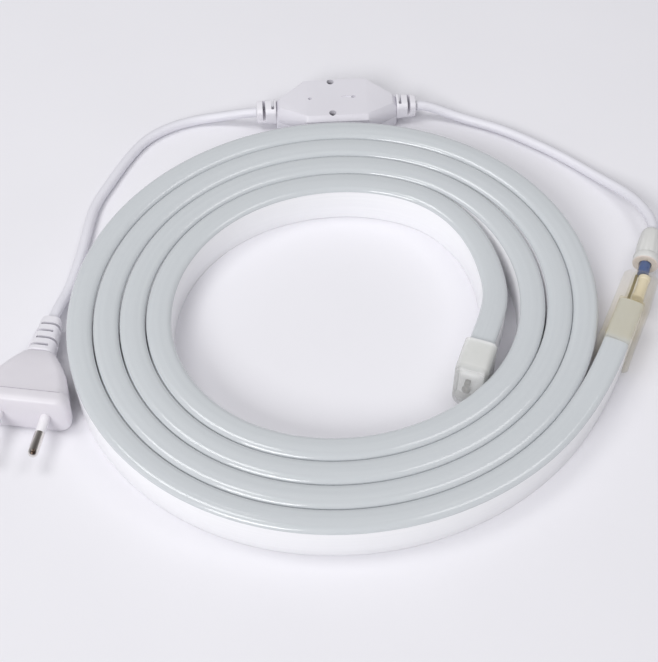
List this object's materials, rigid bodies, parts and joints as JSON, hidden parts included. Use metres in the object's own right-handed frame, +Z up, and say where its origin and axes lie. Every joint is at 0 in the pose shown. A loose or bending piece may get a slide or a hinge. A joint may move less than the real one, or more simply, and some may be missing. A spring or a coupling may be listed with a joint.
{
  "type": "led neon flex",
  "caption": "Flat coil of milky LED neon flex with an end cap, a clear power connector, a rectifier box in its lead and a two-pin plug.",
  "frame": {"origin": "on the floor, under the middle of the box around the coil and its connector", "axes": "+Z up out of the flex's light side; +X towards the power connector; +Y towards the rectifier box behind the coil"},
  "size_m": [0.2779, 0.2381, 0.0218],
  "materials": {
    "white_channel": "opaque white PVC, satin",
    "milky_lens": "milky translucent PVC, satin",
    "clear_cap": "cloudy clear PVC",
    "tinned_metal": "tinned circuit end",
    "clear_sleeve": "clear, slightly yellow PVC",
    "cream_core": "cream plastic",
    "blue_wire": "blue wire insulation",
    "dark_wire": "dark wire insulation",
    "cloudy_nut": "cloudy PVC",
    "white_jacket": "white cord jacket",
    "white_shell": "moulded white plastic",
    "white_relief": "moulded soft white plastic",
    "dark_screw": "dark screw head in a deep hole",
    "white_plug": "moulded white plastic",
    "pin_sleeve": "white insulating sleeve",
    "nickel_pin": "nickel plated brass"
  },
  "bodies": {
    "root": {"base_channel": "white_channel", "diffuser_lens": "milky_lens", "end_cap": "clear_cap", "circuit_end": "tinned_metal", "connector_sleeve": "clear_sleeve", "contact_core": "cream_core", "blue_wire": "blue_wire", "dark_wire": "dark_wire", "gland_nut": "cloudy_nut", "lead_cord": "white_jacket", "mains_cord": "white_jacket", "box_bottom_shell": "white_shell", "box_top_shell": "white_shell", "box_relief_lead": "white_relief", "box_relief_mains": "white_relief", "box_screw_1": "dark_screw", "box_screw_2": "dark_screw", "plug_body": "white_plug", "plug_relief": "white_relief", "pin_sleeve_left": "pin_sleeve", "pin_sleeve_right": "pin_sleeve", "plug_pin_left": "nickel_pin", "plug_pin_right": "nickel_pin"}
  },
  "joints": []
}
